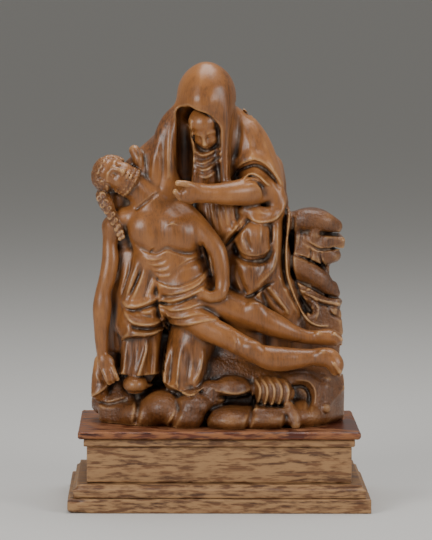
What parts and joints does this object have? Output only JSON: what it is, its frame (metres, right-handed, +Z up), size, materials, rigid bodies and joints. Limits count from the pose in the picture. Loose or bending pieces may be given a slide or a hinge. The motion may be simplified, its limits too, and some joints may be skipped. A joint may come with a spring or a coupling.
{
  "type": "wooden pieta statue",
  "caption": "Carved wooden pieta: a hooded woman on rocks holds a reclining man across her knees, on a moulded rectangular plinth.",
  "frame": {"origin": "centre of the underside of the foot slab", "axes": "+Z up, +X to the viewer's right, the front of the group faces -Y"},
  "size_m": [0.268, 0.168, 0.3951],
  "materials": {
    "carved_oak": "waxed, worn to bright highlights, dust in the hollows",
    "plinth_oak": "dark waxed, rubbed pale on the arrises",
    "stained_board": "red-brown stain, waxed"
  },
  "bodies": {
    "root": {"foot_slab": "plinth_oak", "base_moulding": "plinth_oak", "plinth_die": "plinth_oak", "neck_strip": "plinth_oak", "top_board": "stained_board", "carved_group": "carved_oak"}
  },
  "joints": []
}
